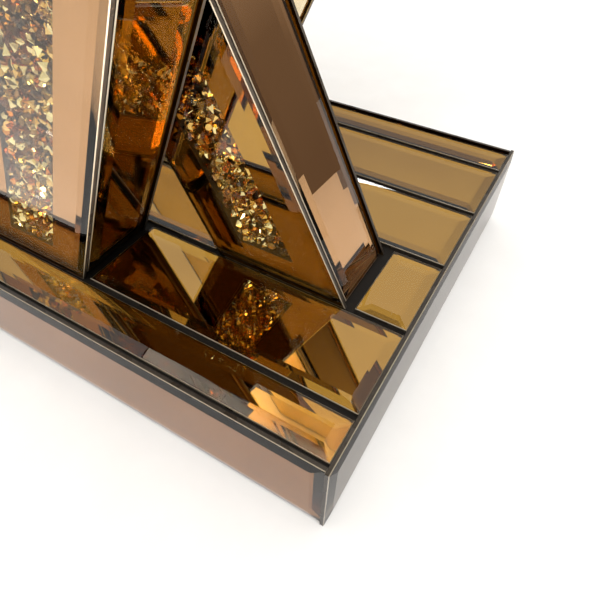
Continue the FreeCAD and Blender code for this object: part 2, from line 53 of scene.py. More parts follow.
# Colours, as linear red, green and blue
AMBER_SILVER = (0.44, 0.25, 0.048)
AMBER_DEEP = (0.39, 0.21, 0.036)
# Rose silvering: the amber silvering with a painted pinkish floor reflection, for the faces that look
# away from the others and the box
ROSE_PAINTED_REFLECTION = (0.60, 0.36, 0.19)
ROSE_PAINTED_REFLECTION_DEEP = (0.54, 0.31, 0.15)
# Champagne silvering: the amber silvering made paler, painted light on the rear plank that brightens its
# reflections
PAINTED_LIGHT_SILVER = (0.88, 0.74, 0.46)
PAINTED_LIGHT_DEEP = (0.82, 0.66, 0.38)
# Dusk silvering: the rose silvering darkened, painted shade with a painted floor reflection, on the
# plinth's front and rear
SHADED_PAINTED_REFLECTION = (0.36, 0.18, 0.085)
SHADED_PAINTED_REFLECTION_DEEP = (0.30, 0.15, 0.07)
# Shade silvering: nearly dark, painted shade of a shadowed floor reflected in the plinth's sides
PAINTED_SHADE_SILVER = (0.13, 0.085, 0.045)
PAINTED_SHADE_DEEP = (0.10, 0.065, 0.034)
CLEAR = (0.98, 0.97, 0.93)
SMUDGED = (0.90, 0.88, 0.82)
GROUND_EDGE = (0.018, 0.013, 0.009)
GROUND_EDGE_PALE = (0.06, 0.05, 0.04)
ARRIS = (0.30, 0.25, 0.18)
CHAMPAGNE = (0.80, 0.72, 0.58)
BLACK_LACQUER = (0.005, 0.004, 0.003)
AMBER_LACQUER = (0.075, 0.040, 0.012)
PALE_FLOOR = (0.88, 0.87, 0.855)
BRASS = (0.86, 0.62, 0.27)
FELT_BROWN = (0.19, 0.085, 0.035)
STONE_SHADE = (0.45, 0.25, 0.08)

# Surfaces: patterns per metre, and the height of the grain's bump
SILVER_CLOUDS = 11.0
STONE_CLOUDS = 300.0
GRAIN_HEIGHT = 0.4 * MM

# Cosine above which a face looks along a direction
FACING = 0.9

# Glass sheets: arris, how far the edge is drawn in, how far the back is lifted, least step between a
# node's levels, how near a face's middle is to a window's, and the least cosine of an arris
ARRIS_WIDTH = 0.3 * MM
SHEET_PLAY = 0.04 * MM
SILVER_LIFT = 0.05 * MM
LEVEL_GAP = 0.02 * MM
WINDOW_REACH = 1.0 * MM
ARRIS_FACING = 0.3
# Faces that take the rose silvering with its painted floor reflection
OUTER_FACES = ("plank_a_front", "plank_a_left", "plank_b_right")
FACE_SLOT, BACK_SLOT, FLANK_SLOT, ARRIS_SLOT = range(4)

# Crystals: share of the stones, colour
FOILED_TINTS = [
    (0.52, (1.00, 0.88, 0.46)),
    (0.26, (0.92, 0.62, 0.20)),
    (0.12, (0.80, 0.28, 0.03)),
    (0.10, (0.32, 0.18, 0.07)),
]
CLEAR_TINTS = [
    (0.40, (0.98, 0.82, 0.42)),
    (0.35, (0.90, 0.50, 0.12)),
    (0.25, (0.92, 0.30, 0.02)),
]
CLEAR_SHARE = 0.3
STONE_LIGHTNESS = (0.8, 1.05)
STONE_SEED = 7
STONE_PITCH = 3.9 * MM
STONE_WANDER = (0.15, 0.85)
TRAY_PLAY = 0.05 * MM

# Layers of stones: place between the tray's back and its window, smallest and largest radius
STONE_LAYERS = ((0.28, 2.2 * MM, 2.9 * MM), (0.66, 2.1 * MM, 2.8 * MM))

# Cuts of stone of unit radius: sides, table, crown and depth, then the girdle of them all
STONE_CUTS = ((8, 0.55, 0.32, 0.95), (8, 0.62, 0.28, 0.75), (6, 0.5, 0.35, 1.0))
SPLINTER_CUT = (7, 0.6, 0.35, 0.9)
GIRDLE = 0.12
BREAKS = 4
BREAK_DEPTH = (0.25, 0.6)

# Felt: cells, drop below the top of its node, how much thinner than its node it is, height of its
# waves, pull at its ends, and waves in radians per metre
FELT_GRID = (60, 40)
FELT_DROP = 0.35 * MM
FELT_SLACK = 0.8 * MM
FELT_WAVE = 0.25 * MM
FELT_PULL = 0.4 * MM
FELT_WAVES_ACROSS, FELT_WAVES_ALONG, FELT_END_WAVES = 90, 110, 140

# Knob: ball's share of its node's radius, stem, where the stem ends in radii from the ball's middle,
# and the stem's edge
BALL_SHARE = 0.99
STEM_RADIUS = 2.2 * MM
STEM_END = 0.55
STEM_EDGE = 0.35 * MM

# Studio: floor, dome of light by height, lamps and camera
FLOOR_RADIUS = 2.2
DOME_STRENGTH = 1.32
DOME = [
    (0.00, (0.15, 0.12, 0.095)),
    (0.21, (0.18, 0.15, 0.12)),
    (0.36, (0.36, 0.32, 0.28)),
    (0.57, (0.66, 0.64, 0.60)),
    (0.87, (0.96, 0.95, 0.93)),
    (1.00, (1.0, 1.0, 1.0)),
]
UNDERSIDE = (0.0, -0.03, 0.297)
LOW_SOFTBOXES = {
    "low_front_softbox": (0.10, -0.70, 0.04),
    "low_right_softbox": (0.75, -0.10, 0.04),
    "low_rear_softbox": (-0.10, 0.75, 0.04),
    "low_left_softbox": (-0.75, 0.0, 0.04),
}
CAMERA_PLACE = Vector((0.1597, -0.1995, 0.2363))
CAMERA_AIM = Vector((0.0776, -0.0580, 0.0550))
CAMERA_LENS = 30.58
CAMERA_SENSOR = 36.0
CAMERA_ROLL = math.radians(0.6)


# ---------------------------------------------------------------- node groups
def new_group(name, inputs, outputs):
    """Empty shader group whose inputs are (name, kind, default) and outputs (name, kind)."""
    group = bpy.data.node_groups.new(name, "ShaderNodeTree")
    for label, kind, default in inputs:
        socket = group.interface.new_socket(label, in_out="INPUT", socket_type=kind)
        socket.default_value = default
    for label, kind in outputs:
        group.interface.new_socket(label, in_out="OUTPUT", socket_type=kind)
    return group, group.nodes.new("NodeGroupInput"), group.nodes.new("NodeGroupOutput")


def feed(tree, socket, value):
    """Link an output to a socket, or set the socket to a number or a colour."""
    if isinstance(value, bpy.types.NodeSocket):
        tree.links.new(value, socket)
    elif isinstance(value, tuple) and socket.type == "RGBA":
        socket.default_value = (*value, 1.0)
    else:
        socket.default_value = value


def add_math(tree, operation, first, second):
    node = tree.nodes.new("ShaderNodeMath")
    node.operation = operation
    feed(tree, node.inputs[0], first)
    feed(tree, node.inputs[1], second)
    return node.outputs[0]


def add_noise(tree, scale, detail=3.0, roughness=0.5):
    """Noise on Object coordinates, its scale in patterns per metre."""
    node = tree.nodes.new("ShaderNodeTexNoise")
    feed(tree, node.inputs["Scale"], scale)
    node.inputs["Detail"].default_value = detail
    node.inputs["Roughness"].default_value = roughness
    place = tree.nodes.new("ShaderNodeTexCoord").outputs["Object"]
    tree.links.new(place, node.inputs["Vector"])
    return node.outputs["Fac"]


def add_mix(tree, factor, first, second):
    """Mix of two colours; a Mix node keeps its colours in these numbered sockets."""
    factor_socket, first_socket, second_socket, result_socket = 0, 6, 7, 2
    node = tree.nodes.new("ShaderNodeMix")
    node.data_type = "RGBA"
    feed(tree, node.inputs[factor_socket], factor)
    feed(tree, node.inputs[first_socket], first)
    feed(tree, node.inputs[second_socket], second)
    return node.outputs[result_socket]


def remap(tree, value, low, high, to_low=0.0, to_high=1.0):
    """Value moved from the range low to high to the range to_low to to_high."""
    node = tree.nodes.new("ShaderNodeMapRange")
    for label, number in (("Value", value), ("From Min", low), ("From Max", high),
                          ("To Min", to_low), ("To Max", to_high)):
        feed(tree, node.inputs[label], number)
    return node.outputs["Result"]


def make_wipe_marks():
    """Faint cloudy marks that a cloth leaves on polished glass."""
    group, given, made = new_group(
        "wipe_marks",
        [("Scale", "NodeSocketFloat", 30.0)],
        [("Marks", "NodeSocketFloat")],
    )
    cloud = add_noise(group, given.outputs["Scale"])
    group.links.new(remap(group, cloud, 0.50, 0.80), made.inputs["Marks"])
    return group


def make_fine_grain():
    """Fine grain for boards, metals, felt and rubber: a mottled colour, a roughness and a height."""
    group, given, made = new_group(
        "fine_grain",
        [
            ("Tint", "NodeSocketColor", (0.5, 0.5, 0.5, 1.0)),
            ("Shade", "NodeSocketColor", (0.2, 0.2, 0.2, 1.0)),
            ("Scale", "NodeSocketFloat", 400.0),
            ("Mottle", "NodeSocketFloat", 0.3),
            ("Roughness", "NodeSocketFloat", 0.4),
            ("Spread", "NodeSocketFloat", 0.1),
        ],
        [
            ("Color", "NodeSocketColor"),
            ("Roughness", "NodeSocketFloat"),
            ("Height", "NodeSocketFloat"),
        ],
    )
    fine = add_noise(group, given.outputs["Scale"], detail=5.0, roughness=0.6)
    broad = add_noise(group, add_math(group, "MULTIPLY", given.outputs["Scale"], 0.08))
    both = add_math(group, "MULTIPLY", add_math(group, "ADD", fine, broad), 0.5)
    amount = add_math(group, "MULTIPLY", remap(group, both, 0.35, 0.65), given.outputs["Mottle"])
    colour = add_mix(group, amount, given.outputs["Tint"], given.outputs["Shade"])
    group.links.new(colour, made.inputs["Color"])
    lift = add_math(group, "MULTIPLY", remap(group, broad, 0.3, 0.7, -1.0, 1.0),
                    given.outputs["Spread"])
    group.links.new(add_math(group, "ADD", given.outputs["Roughness"], lift), made.inputs["Roughness"])
    group.links.new(fine, made.inputs["Height"])
    return group


WIPE_MARKS = make_wipe_marks()
FINE_GRAIN = make_fine_grain()


# ---------------------------------------------------------------- materials
def new_material(name):
    material = bpy.data.materials.new(name)
    material.use_nodes = True
    tree = material.node_tree
    return material, tree, tree.nodes["Principled BSDF"]


def place_group(tree, group, **values):
    node = tree.nodes.new("ShaderNodeGroup")
    node.node_tree = group
    for label, value in values.items():
        feed(tree, node.inputs[label], value)
    return node.outputs


def add_bump(tree, shader, height, strength, distance):
    bump = tree.nodes.new("ShaderNodeBump")
    bump.inputs["Strength"].default_value = strength
    bump.inputs["Distance"].default_value = distance
    tree.links.new(height, bump.inputs["Height"])
    tree.links.new(bump.outputs["Normal"], shader.inputs["Normal"])


def silver_material(name, tint, deep):
    """Slightly cloudy silvering, seen through the glass in front of it."""
    material, tree, shader = new_material(name)
    cloud = remap(tree, add_noise(tree, SILVER_CLOUDS, detail=2.0), 0.3, 0.7)
    tree.links.new(add_mix(tree, cloud, tint, deep), shader.inputs["Base Color"])
    shader.inputs["Metallic"].default_value = 1.0
    shader.inputs["Roughness"].default_value = 0.0
    return material


def glass_material(name, tint, ior):
    """Clear glass with the faint marks of wiping on its face."""
    material, tree, shader = new_material(name)
    marks = place_group(tree, WIPE_MARKS, Scale=26.0)
    tree.links.new(add_mix(tree, marks["Marks"], tint, SMUDGED), shader.inputs["Base Color"])
    shader.inputs["Roughness"].default_value = 0.0
    shader.inputs["Transmission Weight"].default_value = 1.0
    shader.inputs["IOR"].default_value = ior
    return material


def grained_material(name, tint, shade, *, scale, mottle, roughness, spread, metallic=0.0, bump=0.1,
                     coat=0.0, sheen=0.0, gloss=0.5):
    """Finish of a board, metal, felt or rubber, with its grain and the spread of its roughness."""
    material, tree, shader = new_material(name)
    grain = place_group(tree, FINE_GRAIN, Tint=tint, Shade=shade, Scale=scale, Mottle=mottle,
                        Roughness=roughness, Spread=spread)
    tree.links.new(grain["Color"], shader.inputs["Base Color"])
    tree.links.new(grain["Roughness"], shader.inputs["Roughness"])
    shader.inputs["Metallic"].default_value = metallic
    shader.inputs["Coat Weight"].default_value = coat
    shader.inputs["Sheen Weight"].default_value = sheen
    shader.inputs["Specular IOR Level"].default_value = gloss
    add_bump(tree, shader, grain["Height"], bump, GRAIN_HEIGHT)
    return material


def stone_material(name, metallic, transmission, ior):
    """Cut stone that carries its own tint as a colour attribute."""
    material, tree, shader = new_material(name)
    tint = tree.nodes.new("ShaderNodeVertexColor")
    tint.layer_name = "stone_tint"
    cloud = remap(tree, add_noise(tree, STONE_CLOUDS, detail=1.0), 0.35, 0.7, 0.0, 0.25)
    tree.links.new(add_mix(tree, cloud, tint.outputs["Color"], STONE_SHADE), shader.inputs["Base Color"])
    tree.links.new(remap(tree, cloud, 0.0, 0.25, 0.015, 0.05), shader.inputs["Roughness"])
    shader.inputs["Metallic"].default_value = metallic
    shader.inputs["Transmission Weight"].default_value = transmission
    shader.inputs["IOR"].default_value = ior
    return material


SILVER = silver_material("amber_silvering", AMBER_SILVER, AMBER_DEEP)
# Rose silvering carries a painted pinkish floor reflection in its colour
PAINTED_ROSE_REFLECTION = silver_material("rose_painted_reflection_silvering", ROSE_PAINTED_REFLECTION, ROSE_PAINTED_REFLECTION_DEEP)
# Dusk silvering carries painted shade and a painted floor reflection in its colour
PAINTED_SHADED_REFLECTION = silver_material("painted_shaded_reflection_silvering", SHADED_PAINTED_REFLECTION, SHADED_PAINTED_REFLECTION_DEEP)
# Champagne silvering carries painted light in its colour
PAINTED_LIGHT_MIRROR = silver_material("painted_light_silvering", PAINTED_LIGHT_SILVER, PAINTED_LIGHT_DEEP)
# Shade silvering carries painted shade in its colour
PAINTED_SHADE_SILVERING = silver_material("painted_shade_silvering", PAINTED_SHADE_SILVER, PAINTED_SHADE_DEEP)
CLEAR_GLASS = glass_material("sheet_glass", CLEAR, ior=1.5)
WINDOW_GLASS = glass_material("window_glass", CLEAR, ior=1.36)
SOFT_GLASS = glass_material("side_glass", CLEAR, ior=1.15)
KNOB_GLASS = glass_material("knob_glass", (0.98, 0.90, 0.74), ior=1.54)
GLASS_OVER = {PAINTED_ROSE_REFLECTION: WINDOW_GLASS, PAINTED_SHADED_REFLECTION: WINDOW_GLASS, PAINTED_SHADE_SILVERING: SOFT_GLASS}
GLASS_FLANK = grained_material(
    "ground_glass_edge", GROUND_EDGE, GROUND_EDGE_PALE,
    scale=700.0, mottle=0.55, roughness=0.30, spread=0.08, bump=0.05, gloss=0.3)
GLASS_ARRIS = grained_material(
    "seamed_arris", ARRIS, (0.20, 0.16, 0.11),
    scale=900.0, mottle=0.6, roughness=0.26, spread=0.08, bump=0.05, coat=0.8)
FOILED_STONE = stone_material("foiled_crystal", metallic=1.0, transmission=0.0, ior=1.5)
CLEAR_STONE = stone_material("clear_crystal", metallic=0.0, transmission=1.0, ior=1.55)
CHAMPAGNE_BOARD = grained_material(
    "champagne_lacquer", CHAMPAGNE, (0.62, 0.53, 0.40),
    scale=300.0, mottle=0.35, roughness=0.42, spread=0.06, bump=0.06, coat=0.2)
BLACK_BOARD = grained_material(
    "black_lacquer", BLACK_LACQUER, (0.016, 0.012, 0.009),
    scale=500.0, mottle=0.4, roughness=0.6, spread=0.08, gloss=0.15)
AMBER_BOARD = grained_material(
    "amber_lacquer", AMBER_LACQUER, (0.12, 0.065, 0.02),
    scale=300.0, mottle=0.5, roughness=0.5, spread=0.08, gloss=0.2)
BRASS_METAL = grained_material(
    "polished_brass", BRASS, (0.55, 0.34, 0.12),
    scale=700.0, mottle=0.35, roughness=0.16, spread=0.05, metallic=1.0, bump=0.03)
STEEL_METAL = grained_material(
    "plated_steel", (0.62, 0.62, 0.63), (0.4, 0.4, 0.42),
    scale=900.0, mottle=0.4, roughness=0.3, spread=0.06, metallic=1.0, bump=0.05)
RUBBER = grained_material(
    "pad_rubber", (0.02, 0.02, 0.02), (0.05, 0.05, 0.05),
    scale=900.0, mottle=0.5, roughness=0.8, spread=0.08, bump=0.25)
FELT = grained_material(
    "brown_felt", FELT_BROWN, (0.32, 0.16, 0.08),
    scale=1500.0, mottle=0.8, roughness=0.95, spread=0.03, bump=0.6, sheen=0.6)
FLOOR_PAINT = grained_material(
    "floor_paint", PALE_FLOOR, (0.78, 0.76, 0.735),
    scale=30.0, mottle=0.4, roughness=0.75, spread=0.04, bump=0.02)


def cad_finish(node):
    """Material for a carried-over node, from its name."""
    if node.endswith("_mirror") or node.startswith("tile_row"):
        return SILVER
    if node.endswith("_crystals"):
        return FOILED_STONE
    if node.startswith("hinge") or node in ("slot_trim", "lid_knob"):
        return BRASS_METAL
    if node == "plank_bolts":
        return STEEL_METAL
    if node == "plinth_pads":
        return RUBBER
    if node == "box_lining":
        return FELT
    if node.startswith("plank"):
        return AMBER_BOARD
    if node.startswith("plinth"):
        return BLACK_BOARD
    return CHAMPAGNE_BOARD


for node_name, node_object in NODES.items():
    node_object.data.materials.clear()
    node_object.data.materials.append(cad_finish(node_name))


# ---------------------------------------------------------------- modelling tools
def deselect():
    bpy.ops.object.select_all(action="DESELECT")


def place_mesh(obj):
    """Put the object's place, turn and scale into its mesh."""
    deselect()
    obj.select_set(True)
    bpy.context.view_layer.objects.active = obj
    bpy.ops.object.transform_apply(location=True, rotation=True, scale=True)


def finish_piece(obj, name, body, materials, stands_for=()):
    """Give a piece its name, materials and body, and hide the nodes that it stands for."""
    obj.name = name
    obj.data.name = name
    obj.data.materials.clear()
    for material in materials:
        obj.data.materials.append(material)
    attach(obj, body)
    if stands_for:
        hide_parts(*stands_for)


def body_of(node):
    """Body that a sheet rides on."""
    return "lid" if node.startswith("lid") else "base"


def skin_loops(loops, ring=False):
    """Solid drawn through four-cornered loops, extruded one after the other.

    A ring ends where it starts, which leaves it open through the middle.
    """
    deselect()
    bpy.ops.mesh.primitive_circle_add(vertices=4, radius=10 * MM)
    obj = bpy.context.object
    bpy.ops.object.mode_set(mode="EDIT")
    mesh = bmesh.from_edit_mesh(obj.data)
    mesh.verts.ensure_lookup_table()
    for corner, vertex in zip(loops[0], mesh.verts):
        vertex.co = corner
    bmesh.update_edit_mesh(obj.data)
    bpy.ops.mesh.select_all(action="SELECT")
    if not ring:
        bpy.ops.mesh.edge_face_add()
    for before, after in zip(loops, loops[1:]):
        if ring:
            bpy.ops.mesh.extrude_edges_move()
        else:
            bpy.ops.mesh.extrude_region_move()
        mesh = bmesh.from_edit_mesh(obj.data)
        for vertex in [vertex for vertex in mesh.verts if vertex.select]:
            nearest = min(range(4), key=lambda k: (vertex.co - before[k]).length)
            vertex.co = after[nearest]
        bmesh.update_edit_mesh(obj.data)
    bpy.ops.mesh.select_all(action="SELECT")
    if ring:
        bpy.ops.mesh.remove_doubles(threshold=0.001 * MM)
    bpy.ops.mesh.normals_make_consistent(inside=False)
    bpy.ops.object.mode_set(mode="OBJECT")
    return obj


# ---------------------------------------------------------------- glass sheets
def plane_axes(outward):
    """Two axes in a sheet's plane that turn counter-clockwise about outward."""
    across = UP.cross(outward) if abs(outward.z) < FACING else RIGHT.copy()
    across.normalize()
    return across, outward.cross(across)


def extreme_corners(points, across, along):
    """Four outermost points, counter-clockwise from the low left one."""
    return [
        max(points, key=lambda point: left * point.dot(across) + low * point.dot(along))
        for left, low in ((-1, -1), (1, -1), (1, 1), (-1, 1))
    ]


def node_levels(node, outward):
    """Points of a node grouped by how far out they lie, from back to face."""
    points = {tuple(round(part, 6) for part in vertex.co) for vertex in NODES[node].data.vertices}
    points = sorted((Vector(point) for point in points), key=lambda point: point.dot(outward))
    levels = [[points[0]]]
    for before, point in zip(points, points[1:]):
        if (point - before).dot(outward) > LEVEL_GAP:
            levels.append([])
        levels[-1].append(point)
    return levels


def draw_in(loop, distance, outward):
    """Loop with its sides moved inwards."""
    moved = []
    for k, corner in enumerate(loop):
        before = outward.cross((corner - loop[k - 1]).normalized())
        after = outward.cross((loop[(k + 1) % 4] - corner).normalized())
        moved.append(corner + (before + after) * distance / (1 + before.dot(after)))
    return moved


def shift(loop, offset):
    return [corner + offset for corner in loop]


def sheet_outline(node, outward):
    """Loops of a bevelled sheet, from its back to its face, with an arris along its edge.

    The node's own levels come with them.
    """
    across, along = plane_axes(outward)
    levels = node_levels(node, outward)
    back, shoulder, face = (extreme_corners(level, across, along)
                            for level in (levels[0], levels[1], levels[-1]))
    back = shift(draw_in(back, SHEET_PLAY, outward), outward * SILVER_LIFT)
    edge = draw_in(shoulder, SHEET_PLAY, outward)
    drop = (face[0] - shoulder[0]).dot(outward)
    run = (draw_in(shoulder, 1.0, outward)[0] - shoulder[0]).length
    bevel = ((face[0] - shoulder[0]) - outward * drop).length / run
    arris = shift(draw_in(edge, ARRIS_WIDTH, outward), outward * drop * ARRIS_WIDTH / bevel)
    return [back, shift(edge, outward * -ARRIS_WIDTH), arris, face], levels


def paint_sheet(sheet, outward, clear_centre=None):
    """Glass in front, silvering behind, ground glass and an arris at the edge."""
    for polygon in sheet.data.polygons:
        facing = polygon.normal.dot(outward)
        if facing > FACING:
            polygon.material_index = FACE_SLOT
        elif facing < -FACING:
            polygon.material_index = BACK_SLOT
            if clear_centre is not None and (polygon.center - clear_centre).length < WINDOW_REACH:
                polygon.material_index = FACE_SLOT
        elif facing > ARRIS_FACING:
            polygon.material_index = ARRIS_SLOT
        else:
            polygon.material_index = FLANK_SLOT


def glass_sheet(node, outward, window=None, silver=SILVER):
    """Bevelled mirror sheet in place of a node, with a window in its silvering where given."""
    loops, _ = sheet_outline(node, outward)
    glass = GLASS_OVER.get(silver, CLEAR_GLASS)
    clear_centre = None
    if window is not None:
        across, along = plane_axes(outward)
        opening = extreme_corners(node_levels(window, outward)[-1], across, along)
        opening = shift(opening, outward * SILVER_LIFT)
        loops.insert(0, opening)
        clear_centre = sum(opening, Vector()) / 4
        glass = WINDOW_GLASS
    sheet = skin_loops(loops)
    finish_piece(sheet, f"{node}_glass", body_of(node),
                 [glass, silver, GLASS_FLANK, GLASS_ARRIS], [node])
    paint_sheet(sheet, outward, clear_centre)


def slotted_sheet(node, outward):
    """Bevelled mirror sheet with the card slot through it."""
    loops, levels = sheet_outline(node, outward)
    across, along = plane_axes(outward)
    slot_loops = []
    for level in (levels[0], levels[-1]):
        outer = extreme_corners(level, across, along)
        inner = [point for point in level if point not in outer]
        slot_loops.append(extreme_corners(inner, across, along))
    slot_back = shift(slot_loops[0], outward * SILVER_LIFT)
    sheet = skin_loops([slot_back, *loops, slot_loops[1], slot_back], ring=True)
    finish_piece(sheet, f"{node}_glass", body_of(node),
                 [CLEAR_GLASS, SILVER, GLASS_FLANK, GLASS_ARRIS], [node])
    paint_sheet(sheet, outward)


def lean_axis(plank):
    """Outward normal of a plank's right edge, square to its slope."""
    corners = extreme_corners(node_levels(f"{plank}_front_mirror", FRONT)[0], RIGHT, UP)
    run = (corners[2] - corners[1]).normalized()
    return Vector((run.z, 0.0, -run.x))


def silver_of(face):
    """Paler silvering on the rear plank, which is painted light, and rosier silvering, a painted pinkish
    floor reflection, on the faces that look away from the others.
    """
    if face.startswith("plank_c"):
        return PAINTED_LIGHT_MIRROR
    return PAINTED_ROSE_REFLECTION if face in OUTER_FACES else SILVER


def make_glass():
    """Bevelled sheets of the tiles, the plinth, the box, the planks and the lid."""
    for name in NODES:
        if name.startswith("tile_row"):
            glass_sheet(name, UP)
    # The plinth's front and rear take painted shade with a painted reflection, its sides painted shade,
    # and the box the rose painted reflection
    for part, front, side in (("plinth", PAINTED_SHADED_REFLECTION, PAINTED_SHADE_SILVERING), ("box", PAINTED_ROSE_REFLECTION, PAINTED_ROSE_REFLECTION)):
        window = "box_crystals" if part == "box" else None
        glass_sheet(f"{part}_front_mirror", FRONT, window, front)
        glass_sheet(f"{part}_rear_mirror", REAR, silver=front)
        glass_sheet(f"{part}_left_mirror", LEFT, silver=side)
        glass_sheet(f"{part}_right_mirror", RIGHT, silver=side)
    for plank, window_side in (("plank_a", FRONT), ("plank_b", FRONT), ("plank_c", REAR)):
        lean = lean_axis(plank)
        for label, outward in (("front", FRONT), ("rear", REAR)):
            window = f"{plank}_crystals" if outward is window_side else None
            glass_sheet(f"{plank}_{label}_mirror", outward, window, silver_of(f"{plank}_{label}"))
        glass_sheet(f"{plank}_right_mirror", lean, silver=silver_of(f"{plank}_right"))
        glass_sheet(f"{plank}_left_mirror", -lean, silver=silver_of(f"{plank}_left"))
    slotted_sheet("lid_top_mirror", UP)
    glass_sheet("lid_front_mirror", FRONT)
    glass_sheet("lid_left_mirror", LEFT)
    glass_sheet("lid_right_mirror", RIGHT)


# ---------------------------------------------------------------- crystals
def select_faces(obj, wanted):
    """Select, in edit mode, the faces whose normal passes a test."""
    bpy.ops.mesh.select_all(action="DESELECT")
    mesh = bmesh.from_edit_mesh(obj.data)
    for face in mesh.faces:
        face.select_set(wanted(face.normal))
    bmesh.update_edit_mesh(obj.data)


def cut_stone(sides, table, crown, depth):
    """Pointed stone of unit radius: a flat table, a crown, a narrow girdle and a point below."""
    deselect()
    bpy.ops.mesh.primitive_cylinder_add(vertices=sides, radius=1.0, depth=GIRDLE)
    stone = bpy.context.object
    bpy.ops.object.mode_set(mode="EDIT")
    bpy.ops.mesh.select_mode(type="FACE")
    select_faces(stone, lambda normal: normal.z > FACING)
    bpy.ops.mesh.extrude_region_move(TRANSFORM_OT_translate={"value": (0.0, 0.0, crown)})
    bpy.ops.transform.resize(value=(table, table, 1.0))
    select_faces(stone, lambda normal: normal.z < -FACING)
    bpy.ops.mesh.extrude_region_move(TRANSFORM_OT_translate={"value": (0.0, 0.0, -depth)})
    bpy.ops.mesh.merge(type="CENTER")
    bpy.ops.mesh.select_all(action="SELECT")
    bpy.ops.mesh.normals_make_consistent(inside=False)
    bpy.ops.object.mode_set(mode="OBJECT")
    return stone


def broken_stone(rng):
    """Splinter: a cut stone with flat breaks across it."""
    stone = cut_stone(*SPLINTER_CUT)
    bpy.ops.object.mode_set(mode="EDIT")
    for _ in range(BREAKS):
        bpy.ops.mesh.select_all(action="SELECT")
        normal = Vector((rng.uniform(-1, 1), rng.uniform(-1, 1), rng.uniform(-1, 1))).normalized()
        bpy.ops.mesh.bisect(plane_co=normal * rng.uniform(*BREAK_DEPTH), plane_no=normal,
                            use_fill=True, clear_outer=True)
    bpy.ops.mesh.select_all(action="SELECT")
    bpy.ops.mesh.normals_make_consistent(inside=False)
    bpy.ops.object.mode_set(mode="OBJECT")
    return stone


def pick(tints, rng):
    """One tint, by its share, a little lighter or darker."""
    draw = rng.random()
    for share, colour in tints:
        if draw < share:
            break
        draw -= share
    light = rng.uniform(*STONE_LIGHTNESS)
    return [min(1.0, part * light) for part in colour]


class Tray:
    """Four-sided tray with level ends, behind a window that looks along outward."""

    def __init__(self, window):
        self.outward = REAR if window.startswith("plank_c") else FRONT
        self.low, self.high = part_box(window)
        points = node_levels(window, self.outward)[0]
        self.foot, foot_right, _, self.head = extreme_corners(points, RIGHT, UP)
        self.width = foot_right.x - self.foot.x

    def left_at(self, height):
        """Left side of the tray at a height."""
        along = (height - self.foot.z) / (self.head.z - self.foot.z)
        return self.foot.x + (self.head.x - self.foot.x) * along

    def point(self, across, share, along):
        """Place in the tray: across it, from its back to its window, and up it."""
        height = self.low.z + (self.high.z - self.low.z) * along
        back = self.high.y if self.outward is FRONT else self.low.y
        level = back + self.outward.y * (self.high.y - self.low.y) * share
        return Vector((self.left_at(height) + self.width * across, level, height))

    def push_inside(self, points):
        """Offset that brings a stone's points inside the tray."""
        offset = Vector()
        for axis in (1, 2):
            under = self.low[axis] + TRAY_PLAY - min(point[axis] for point in points)
            over = max(point[axis] for point in points) - self.high[axis] + TRAY_PLAY
            offset[axis] = max(0.0, under) - max(0.0, over)
        reach = [point.x - self.left_at(point.z + offset.z) for point in points]
        offset.x = max(0.0, TRAY_PLAY - min(reach)) - max(0.0, max(reach) - self.width + TRAY_PLAY)
        return offset


def place_stone(shape, place, radius, rng, tray):
    """Copy of a stone, turned any way, that stays inside its tray."""
    stone = shape.copy()
    stone.data = shape.data.copy()
    turn = Euler([rng.uniform(0, math.tau) for _ in range(3)]).to_matrix().to_4x4()
    stone.data.transform(Matrix.Translation(place) @ turn @ Matrix.Scale(radius, 4))
    offset = tray.push_inside([vertex.co for vertex in stone.data.vertices])
    stone.data.transform(Matrix.Translation(offset))
    clear = rng.random() < CLEAR_SHARE
    tint = stone.data.color_attributes.new("stone_tint", "FLOAT_COLOR", "POINT")
    colour = pick(CLEAR_TINTS if clear else FOILED_TINTS, rng) + [1.0]
    tint.data.foreach_set("color", colour * len(stone.data.vertices))
    stone.data.materials.append(FOILED_STONE)
    stone.data.materials.append(CLEAR_STONE)
    stone.data.polygons.foreach_set("material_index", [int(clear)] * len(stone.data.polygons))
    bpy.context.scene.collection.objects.link(stone)
    return stone


def fill_tray(window, shapes, rng):
    """Bed of cut stones in the tray behind a window, in layers from its back to its glass."""
    tray = Tray(window)
    rows = int((tray.high.z - tray.low.z) / STONE_PITCH)
    columns = int(tray.width / STONE_PITCH)
    stones = []
    for share, small, large in STONE_LAYERS:
        for row in range(rows):
            for column in range(columns):
                place = tray.point((column + rng.uniform(*STONE_WANDER)) / columns, share,
                                   (row + rng.uniform(*STONE_WANDER)) / rows)
                radius = rng.uniform(small, large)
                stones.append(place_stone(rng.choice(shapes), place, radius, rng, tray))
    deselect()
    for stone in stones:
        stone.select_set(True)
    bpy.context.view_layer.objects.active = stones[0]
    bpy.ops.object.join()
    bed = bpy.context.object
    bed.name = f"{window}_stones"
    bed.data.name = bed.name
    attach(bed, "base")
    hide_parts(window)


def make_crystals():
    """Beds of stones in the trays of the planks and the box, from five shapes."""
    rng = random.Random(STONE_SEED)
    shapes = [cut_stone(*cut) for cut in STONE_CUTS]
    shapes += [broken_stone(rng), broken_stone(rng)]
    for window in ("plank_a_crystals", "plank_b_crystals", "plank_c_crystals", "box_crystals"):
        fill_tray(window, shapes, rng)
    for shape in shapes:
        bpy.data.objects.remove(shape)


